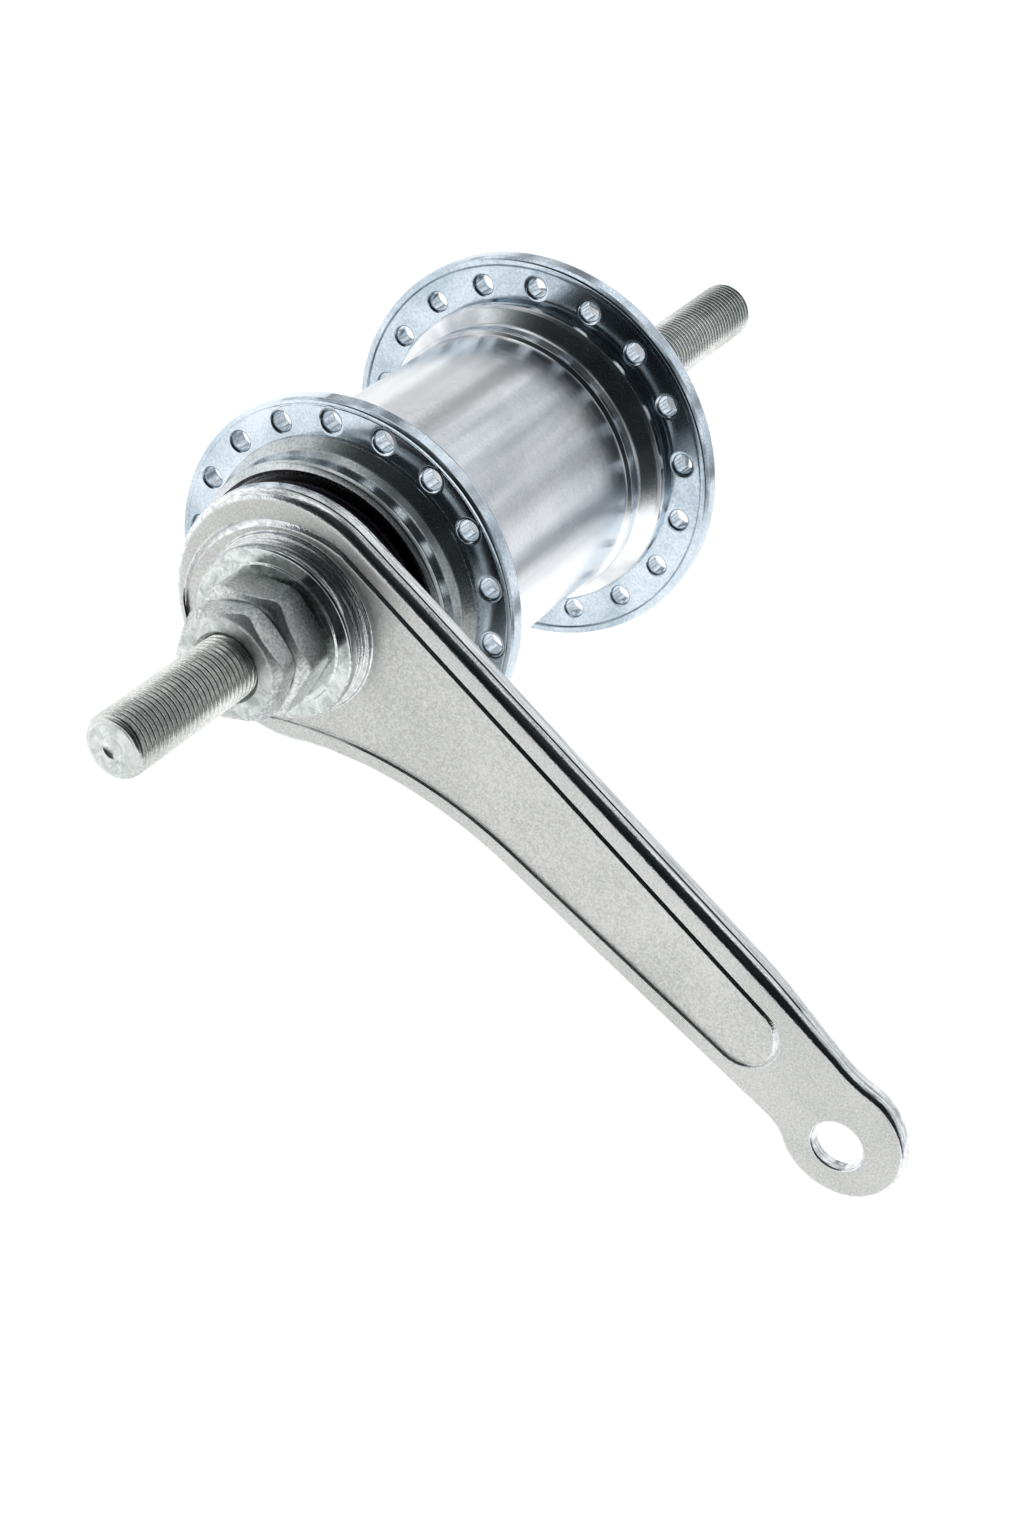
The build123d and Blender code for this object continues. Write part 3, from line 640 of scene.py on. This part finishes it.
def arm_outline():
    """Points of the arm's outline, in millimetres in X and Z."""
    neck_x = ARM_NECK_X
    neck_z = ARM_SLOPE * neck_x + ARM_END_R * math.hypot(1.0, ARM_SLOPE)
    lobe_x, lobe_z, lobe_r = ARM_LOBE
    top = tangent_point(ARM_END_R, ARM_SLOPE)
    lobe_top = (lobe_x - LOBE_TOP * lobe_r, lobe_z + lobe_r * math.sqrt(1 - LOBE_TOP ** 2))
    lobe_low = (lobe_x - LOBE_LOW * lobe_r, lobe_z - lobe_r * math.sqrt(1 - LOBE_LOW ** 2))
    neck_low = (neck_x - 1.0, ARM_LOWER_Z)
    sweep, sweep_end = sweep_points(ARM_END_R, ARM_LOWER_Z, 60)
    points = line_points(top, (neck_x, neck_z), 100)
    points += arc_points((neck_x, neck_z), (103.8, neck_z - 0.35), lobe_top, 12)
    points += arc_points(lobe_top, (lobe_x + lobe_r, lobe_z), lobe_low, 72)
    points += arc_points(lobe_low, (102.4, ARM_LOWER_Z - 0.85), neck_low, 12)
    points += line_points(neck_low, (ARM_SWEEP[0], ARM_LOWER_Z), 50)
    points += sweep
    points += arc_points(sweep_end, (-ARM_END_R, 0), top, 110)
    return points


def panel_outline():
    """Points of the pressed panel's outline."""
    end_x, end_z, end_r = PANEL_END
    start = tangent_point(PANEL_R, PANEL_SLOPE)
    sweep, sweep_end = sweep_points(PANEL_R, PANEL_LOWER_Z, 60)
    points = line_points(start, (end_x, end_z + end_r), 80)
    points += arc_points((end_x, end_z + end_r), (end_x + end_r, end_z), (end_x, end_z - end_r), 40)
    points += line_points((end_x, end_z - end_r), (ARM_SWEEP[0], PANEL_LOWER_Z), 40)
    points += sweep
    points += arc_points(sweep_end, (-PANEL_R, 0), start, 110)
    return points


def outward(points, soften=3):
    """Unit outward normals of a clockwise outline, averaged over neighbours."""
    count = len(points)
    normals = []
    for index in range(count):
        along = points[(index + 1) % count] - points[index - 1]
        normals.append(Vector((-along.y, along.x)).normalized())
    for _ in range(soften):
        normals = [
            (normals[index - 1] + 2 * normals[index] + normals[(index + 1) % count]).normalized()
            for index in range(count)
        ]
    return normals


def outline_ring(bm, points, normals, place):
    """Ring of vertices; place(point, normal) gives each one's offset and y."""
    ring = []
    for point, normal in zip(points, normals):
        offset, y = place(point, normal)
        ring.append(flat_vert(bm, point + normal * offset, y))
    return ring


def fold_share(point):
    """How far the arm's edge is folded back at a point: 0 is a plain edge."""
    if point.y > UPPER_EDGE_Z:
        fade = 0.6 * smoothstep(*FOLD_NECK_X, point.x) + 0.4 * smoothstep(*FOLD_LOBE_X, point.x)
        return 1.0 - fade
    return 1.0 - smoothstep(*FOLD_LOWER_X, point.x)


ARM_EDGE = [
    # offset and y of the plain edge, then of the folded edge
    (-1.10, ARM_FRONT, -1.10, ARM_FRONT),
    (-0.75, ARM_FRONT, -0.75, ARM_FRONT),
    (-0.50, ARM_FRONT + 0.01, -0.45, ARM_FRONT + 0.01),
    (-0.32, ARM_FRONT + 0.05, -0.05, ARM_FRONT + 0.09),
    (-0.18, ARM_FRONT + 0.13, 0.30, ARM_FRONT + 0.27),
    (-0.07, ARM_FRONT + 0.26, 0.58, ARM_FRONT + 0.54),
    (-0.01, ARM_FRONT + 0.45, 0.78, ARM_FRONT + 0.86),
    (0.0, ARM_FRONT + 0.70, 0.90, ARM_FRONT + 1.20),
    (0.0, ARM_FRONT + 0.95, 0.95, ARM_FRONT + 1.60),
    (0.0, ARM_FRONT + 1.10, 0.82, ARM_FRONT + 1.78),
    (0.0, ARM_FRONT + 1.20, 0.84, ARM_FRONT + 1.95),
    (0.0, ARM_FRONT + 1.35, 1.02, ARM_FRONT + 2.10),
    (0.0, ARM_BACK - 0.25, 1.05, ARM_SKIRT - 0.25),
    (-0.08, ARM_BACK - 0.08, 0.97, ARM_SKIRT - 0.08),
    (-0.25, ARM_BACK, 0.80, ARM_SKIRT),
    (-0.55, ARM_BACK, -0.55, ARM_SKIRT),
    (-0.70, ARM_BACK, -0.70, ARM_SKIRT - 0.12),
    (-0.72, ARM_BACK, -0.72, ARM_BACK),
    (-1.10, ARM_BACK, -1.10, ARM_BACK),
]

PANEL_EDGE = [
    # offset and y of the lower edge's plain step, then of the upper edge's groove
    (0.12, ARM_FRONT, 0.34, ARM_FRONT),
    (0.06, ARM_FRONT + 0.03, 0.20, ARM_FRONT + 0.04),
    (0.01, ARM_FRONT + 0.12, 0.10, ARM_FRONT + 0.16),
    (-0.01, PANEL_FLOOR - 0.16, 0.02, PANEL_FLOOR),
    (-0.03, PANEL_FLOOR - 0.08, -0.05, PANEL_FLOOR + 0.40),
    (-0.06, PANEL_FLOOR - 0.03, -0.15, PANEL_FLOOR + 0.55),
    (-0.11, PANEL_FLOOR - 0.01, -0.30, PANEL_FLOOR + 0.54),
    (-0.20, PANEL_FLOOR, -1.00, PANEL_FLOOR + 0.07),
    (-0.35, PANEL_FLOOR, -1.25, PANEL_FLOOR),
]

CLIP_HOLE_EDGE = [
    # out from the hole, and y
    (0.40, ARM_FRONT), (0.18, ARM_FRONT + 0.05), (0.04, ARM_FRONT + 0.18), (0.0, ARM_FRONT + 0.38),
    (0.0, ARM_BACK - 0.30), (0.08, ARM_BACK - 0.10), (0.25, ARM_BACK),
]


def fill_between(bm, *loops):
    """Flat faces between closed loops of vertices that lie in one plane."""
    edges = []
    for loop in loops:
        for index, vert in enumerate(loop):
            after = loop[(index + 1) % len(loop)]
            edges.append(bm.edges.get((vert, after)) or bm.edges.new((vert, after)))
    bmesh.ops.triangle_fill(bm, use_beauty=True, use_dissolve=False, edges=edges)


BOSS_EDGE = [
    # out from the boss's radius, in front of the panel's floor, and fillet
    (1.9, 0.0), (1.25, 0.0, 0.3), (1.1, 0.6, 0.25), (0.35, 0.75, 0.15), (0.75, 1.3, 0.3),
    (-0.15, 1.5, 0.15), (0.25, 2.0, 0.3), (-0.6, 2.3, 0.15),
]


def make_arm():
    """Stamped arm: folded edge, pressed panel, ringed boss and clip hole."""
    bm = bmesh.new()
    points = arm_outline()
    normals = outward(points)

    def blend_row(row, share_at):
        """Place between a row's first pair of values and its second."""
        def place(point, normal):
            share = share_at(point, normal)
            return row[0] + (row[2] - row[0]) * share, row[1] + (row[3] - row[1]) * share
        return place

    def folded(point, normal):
        return fold_share(point)

    def facing_up(point, normal):
        return smoothstep(-0.6, 0.5, normal.y)

    edge = [outline_ring(bm, points, normals, blend_row(row, folded)) for row in ARM_EDGE]
    join_chain(bm, edge)

    panel_points = panel_outline()
    panel_normals = outward(panel_points, 8)
    panel = [
        outline_ring(bm, panel_points, panel_normals, blend_row(row, facing_up)) for row in PANEL_EDGE
    ]
    join_chain(bm, panel)

    hole_x, hole_r = ARM_HOLE
    hole = [ring_points(bm, hole_r + offset, y, 64, x=hole_x) for offset, y in CLIP_HOLE_EDGE]
    join_chain(bm, hole)

    boss_points = [(ARM_BOSS_R + out, PANEL_FLOOR - front, *fillet) for out, front, *fillet in BOSS_EDGE]
    boss_points += [
        (ARM_BOSS_R - 0.4, ARM_BOSS_FRONT, 0.2), (ARM_BORE, ARM_BOSS_FRONT, 0.1),
        (ARM_BORE, ARM_BACK, 0.1), (ARM_BORE + 1.0, ARM_BACK),
    ]
    boss = [ring_points(bm, point.x, point.y, 160) for point in round_corners(boss_points)]
    join_chain(bm, boss)

    fill_between(bm, edge[0], panel[0], hole[0])
    fill_between(bm, panel[-1], boss[0])
    fill_between(bm, edge[-1], boss[-1], hole[-1])
    return finish_mesh("stamped_arm", bm, "zinc_arm", "axle_assembly", "brake_arm", 40)


# ---- spoke flanges ----------------------------------------------------------

SPOKE_HOLES = 18
SPOKE_HOLE_R = 1.6
NEAR_SPOKE_PHASE = -5.8            # degrees from +X towards -Z, to the first hole
FAR_SPOKE_PHASE = -1.0
NEAR_CIRCLE_R = 26.0               # circles that the holes lie on
FAR_CIRCLE_R = 28.2
HOLE_EDGE = [(0.75, 0.0), (0.40, 0.02), (0.16, 0.14), (0.02, 0.36), (0.0, 0.6)]    # out, and in from a face


def polar(radius, angle):
    """Point in X and Z at a radius and an angle about the axle."""
    return Vector((radius * math.cos(angle), radius * math.sin(angle)))


def sector_border(middle, r_in, r_out, arc_steps, side_steps):
    """Closed border of one spoke hole's sector, as (x, z) points."""
    half = TURN / SPOKE_HOLES / 2
    turns = [2 * half * step / arc_steps for step in range(arc_steps)]
    shares = [step / side_steps for step in range(side_steps)]
    border = [polar(r_out, middle - half + turn) for turn in turns]
    border += [polar(r_out + (r_in - r_out) * share, middle + half) for share in shares]
    border += [polar(r_in, middle + half - turn) for turn in turns]
    border += [polar(r_in + (r_out - r_in) * share, middle - half) for share in shares]
    return border


def make_flange(name, node, circle_r, phase_degrees, r_in, r_flat, rim):
    """Flange with rounded spoke holes; rim is its (r, y) edge, low to high."""
    arc_steps, side_steps = 14, 6
    low, high = rim[0][1], rim[-1][1]
    bm = bmesh.new()
    phase = -math.radians(phase_degrees)
    hole_rows = [(offset, low + drop) for offset, drop in HOLE_EDGE]
    hole_rows += [(offset, high - drop) for offset, drop in reversed(HOLE_EDGE)]
    for index in range(SPOKE_HOLES):
        middle = phase + TURN * index / SPOKE_HOLES
        centre = polar(circle_r, middle)
        border = sector_border(middle, r_in, r_flat, arc_steps, side_steps)
        rays = [(spot - centre).normalized() for spot in border]
        rings = [[flat_vert(bm, spot, low) for spot in border]]
        for offset, y in hole_rows:
            rings.append([flat_vert(bm, centre + ray * (SPOKE_HOLE_R + offset), y) for ray in rays])
        rings.append([flat_vert(bm, spot, high) for spot in border])
        join_chain(bm, rings)
    segments = SPOKE_HOLES * arc_steps
    start = phase - TURN / SPOKE_HOLES / 2
    edge = round_corners([(r_flat, low)] + rim[1:-1] + [(r_flat, high)])
    join_chain(bm, [ring_points(bm, point.x, point.y, segments, start) for point in edge])
    join_chain(bm, [ring_points(bm, r_in, y, segments, start) for y in (low, high)])
    return finish_mesh(name, bm, "bright_zinc", "hub_shell", node, 40)


def make_near_flange():
    """Brake-side flange, with a shallow groove inside its rim."""
    low, high = NEAR_FLANGE_Y
    flat_r = 28.2
    radius = outer_r("brake_side_flange")
    rim = [
        (flat_r, low), (flat_r + 0.15, low + 0.16, 0.2), (flat_r + 0.4, low, 0.2),
        (radius - 0.25, low + 0.1, 0.3), (radius, low + 0.7, 0.6), (radius, high - 0.7, 0.6),
        (radius - 0.4, high, 0.4), (flat_r, high),
    ]
    return make_flange("near_flange", "brake_side_flange", NEAR_CIRCLE_R, NEAR_SPOKE_PHASE, NEAR_SEAT_R,
                       flat_r, rim)


def make_far_flange():
    """Drive-side flange, whose rim stands out towards the barrel."""
    low, high = FAR_FLANGE_Y
    flat_r = 31.0
    radius = outer_r("drive_side_flange")
    rim = [
        (flat_r, low), (flat_r + 0.3, low - 0.05, 0.3), (flat_r + 0.6, low - 0.5, 0.3),
        (radius - 0.3, low - 0.5, 0.4), (radius, low + 0.4, 0.5), (radius, high - 0.9, 0.6),
        (radius - 0.8, high, 0.6), (flat_r, high),
    ]
    return make_flange("far_flange", "drive_side_flange", FAR_CIRCLE_R, FAR_SPOKE_PHASE, FAR_SEAT_R,
                       flat_r, rim)


# ---- caps -------------------------------------------------------------------

# Outlines of (r, y, fillet), each from its inner edge on the brake-arm side.
GAP_RING = [
    (14.0, -42.1, 0.1), (17.4, -42.1, 0.2), (17.4, -40.2, 0.1), (19.6, -40.2, 0.35),
    (19.6, -39.2, 0.2), (19.2, -38.9, 0.15), (19.2, -38.5, 0.15), (19.6, -38.2, 0.2),
    (19.6, -37.4, 0.3), (14.0, -37.4, 0.1),
]
DRIVER_CAP = [
    (15.8, 35.0, 0.1), (24.2, 35.0, 0.2), (24.6, 35.3, 0.2), (24.6, 35.7, 0.2), (24.0, 36.0, 0.3),
    (22.4, 36.0, 0.3), (22.0, 35.8, 0.3), (18.4, 35.8, 0.3), (18.0, 36.0, 0.3), (15.8, 36.0, 0.1),
]
CONE_CAP = [
    (8.1, 46.0, 0.1), (14.6, 46.0, 0.2), (15.2, 46.4, 0.3), (14.2, 47.4, 0.5), (9.0, 47.4, 0.4),
    (8.1, 46.9, 0.1),
]
LOCK_RING = [(5.1, 52.0, 0.1), (9.6, 52.0, 0.25), (9.6, 53.4, 0.25), (5.1, 53.4, 0.1)]


def make_caps():
    """Dark gap ring, the driver's cap, the cone's cap and the lock washer."""
    lathe("gap_ring", GAP_RING, "dark_cap", "axle_assembly", "brake_side_dust_cap")
    lathe("driver_cap", DRIVER_CAP, "polished_steel", "driver_body", "driver_dust_cap")
    lathe("cone_cap", CONE_CAP, "polished_steel", "axle_assembly", "drive_side_cone_cap")
    lathe("lock_ring_washer", LOCK_RING, "zinc_satin", "axle_assembly", "lock_washer")


# ---- stage, light and camera ------------------------------------------------

CAMERA_PLACE = (0.0736, -0.3526, 0.2841)
CAMERA_AIM = (0.0389, -0.0443, 0.0097)
CAMERA_UP = (-0.68665, 0.43874, 0.57967)
CAMERA_LENS = 68.2
SENSOR_WIDTH = 36.0
DARK_SIDE = (0.10, -0.66, 0.74)    # where the unlit side of the studio is
BACKDROP = (0.95, 0.95, 0.95, 1.0)     # what the camera sees past the floor
STUDIO_STRENGTH = 1.1
SUN_STRENGTH = 2.9
SUN_SPREAD = 50                    # degrees
SUN_TILT = -18                     # degrees about X
FLOOR_SIZE = 6.0
FLOOR_Z = -0.25
PAPER = (0.96, 0.96, 0.96, 1.0)


def make_camera():
    """Camera that repeats the photograph's view."""
    data = bpy.data.cameras.new("camera")
    data.lens = CAMERA_LENS
    data.sensor_width = SENSOR_WIDTH
    data.clip_start = 0.01
    camera = bpy.data.objects.new("camera", data)
    bpy.context.collection.objects.link(camera)
    forward = (Vector(CAMERA_AIM) - Vector(CAMERA_PLACE)).normalized()
    right = forward.cross(Vector(CAMERA_UP)).normalized()
    up = right.cross(forward)
    turn = Matrix((right, up, -forward)).transposed()
    camera.matrix_world = Matrix.Translation(CAMERA_PLACE) @ turn.to_4x4()
    bpy.context.scene.camera = camera


def make_world():
    """White studio whose side behind the camera is dark in reflections."""
    world = bpy.data.worlds.new("studio")
    world.use_nodes = True
    nodes, links = world.node_tree.nodes, world.node_tree.links
    background = nodes["Background"]
    coords = nodes.new("ShaderNodeTexCoord")
    side = nodes.new("ShaderNodeVectorMath")
    side.operation = "DOT_PRODUCT"
    side.inputs[1].default_value = DARK_SIDE
    links.new(coords.outputs["Generated"], side.inputs[0])
    drift = noise(nodes, links, coords.outputs["Generated"], 2.6, 3.0, 0.5, 0.4)
    shift = remap(nodes, links, drift, -0.22, 0.22, 0.3, 0.7)
    total = nodes.new("ShaderNodeMath")
    total.operation = "ADD"
    links.new(side.outputs["Value"], total.inputs[0])
    links.new(shift, total.inputs[1])
    place = remap(nodes, links, total.outputs["Value"], 0.0, 1.0, -1.0, 1.0)
    light = ramp(nodes, links, place, [
        (0.0, (0.80, 0.82, 0.84)), (0.50, (0.92, 0.94, 0.96)), (0.62, (0.85, 0.87, 0.88)),
        (0.70, (0.40, 0.43, 0.44)), (0.78, (0.05, 0.058, 0.06)), (1.0, (0.012, 0.014, 0.016)),
    ])
    patches = noise(nodes, links, coords.outputs["Generated"], 4.5, 3.0, 0.55, 0.5)
    dim = remap(nodes, links, patches, 0.28, 1.15, 0.36, 0.62)
    scale = nodes.new("ShaderNodeVectorMath")
    scale.operation = "SCALE"
    links.new(light, scale.inputs[0])
    links.new(dim, scale.inputs["Scale"])
    rays = nodes.new("ShaderNodeLightPath")
    seen = nodes.new("ShaderNodeMix")
    seen.data_type = "RGBA"
    seen.inputs["B"].default_value = BACKDROP
    links.new(rays.outputs["Is Camera Ray"], seen.inputs["Factor"])
    links.new(scale.outputs["Vector"], seen.inputs["A"])
    links.new(seen.outputs["Result"], background.inputs["Color"])
    background.inputs["Strength"].default_value = STUDIO_STRENGTH
    bpy.context.scene.world = world
    bpy.context.scene.view_settings.view_transform = "Standard"


def make_lights():
    """Soft light from above that whitens the floor without a hot reflection."""
    data = bpy.data.lights.new("floor_light", "SUN")
    data.energy = SUN_STRENGTH
    data.angle = math.radians(SUN_SPREAD)
    lamp = bpy.data.objects.new("floor_light", data)
    bpy.context.collection.objects.link(lamp)
    lamp.rotation_euler = (math.radians(SUN_TILT), 0, 0)
    lamp.visible_glossy = False


def make_floor():
    """White paper below the hub."""
    bpy.ops.mesh.primitive_plane_add(size=FLOOR_SIZE, location=(0, 0, FLOOR_Z))
    floor = bpy.context.object
    floor.name = "studio_floor"
    material, nodes, links, shader = new_material("floor_paper")
    shader.inputs["Base Color"].default_value = PAPER
    shader.inputs["Roughness"].default_value = 0.9
    floor.data.materials.append(material)


make_axle()
make_nut("locknut_brake_side", "brake_side_locknut", LOCKNUT_FLATS, BRAKE_LOCKNUT_CORNER)
make_nut("arm_nut", "brake_arm_nut", ARM_NUT_FLATS, ARM_NUT_CORNER)
make_nut("locknut_drive_side", "drive_side_locknut", LOCKNUT_FLATS, DRIVE_LOCKNUT_CORNER)
make_arm_washer()
make_arm()
make_barrel()
make_collar()
make_near_flange()
make_far_flange()
make_caps()
make_camera()
make_world()
make_lights()
make_floor()
